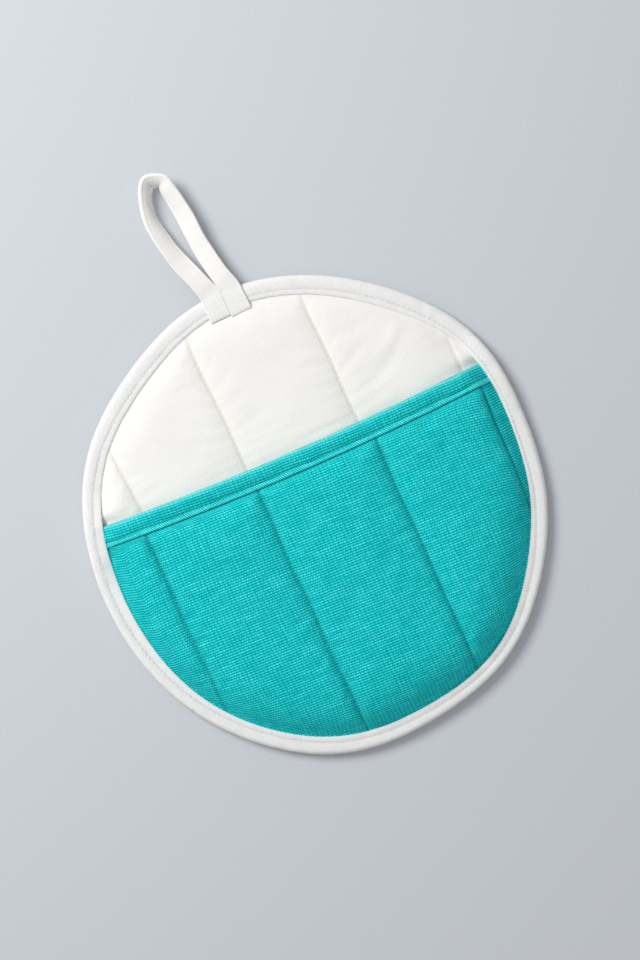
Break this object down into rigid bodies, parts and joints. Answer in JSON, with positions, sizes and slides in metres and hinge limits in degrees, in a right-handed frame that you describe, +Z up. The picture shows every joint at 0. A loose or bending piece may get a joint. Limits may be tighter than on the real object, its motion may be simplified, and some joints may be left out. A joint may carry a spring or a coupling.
{
  "type": "pot holder",
  "caption": "Round quilted pot holder: white padded disc, teal padded hand pocket over its lower part with a folded strip along the mouth, taped rim and a hanging loop.",
  "frame": {"origin": "middle of the disc, on the flat underside that lies on the table", "axes": "+Z up out of the pocket side, +Y from the disc's middle towards the hanging loop, +X to the right seen from above"},
  "size_m": [0.2152, 0.2893, 0.0206],
  "materials": {
    "white_cotton": "plain-weave cotton canvas, warm white, matt",
    "teal_canvas": "coarse plain-weave cotton canvas, teal, matt",
    "white_tape": "finely ribbed cotton tape, white, matt",
    "wadding": "needled cotton wadding, undyed"
  },
  "bodies": {
    "root": {"back_face": "white_cotton", "back_batting": "wadding", "back_backing": "white_cotton", "pocket_face": "teal_canvas", "pocket_batting": "wadding", "pocket_lining": "white_cotton", "pocket_binding": "teal_canvas", "edge_binding": "white_tape", "hanging_loop": "white_tape"}
  },
  "joints": []
}
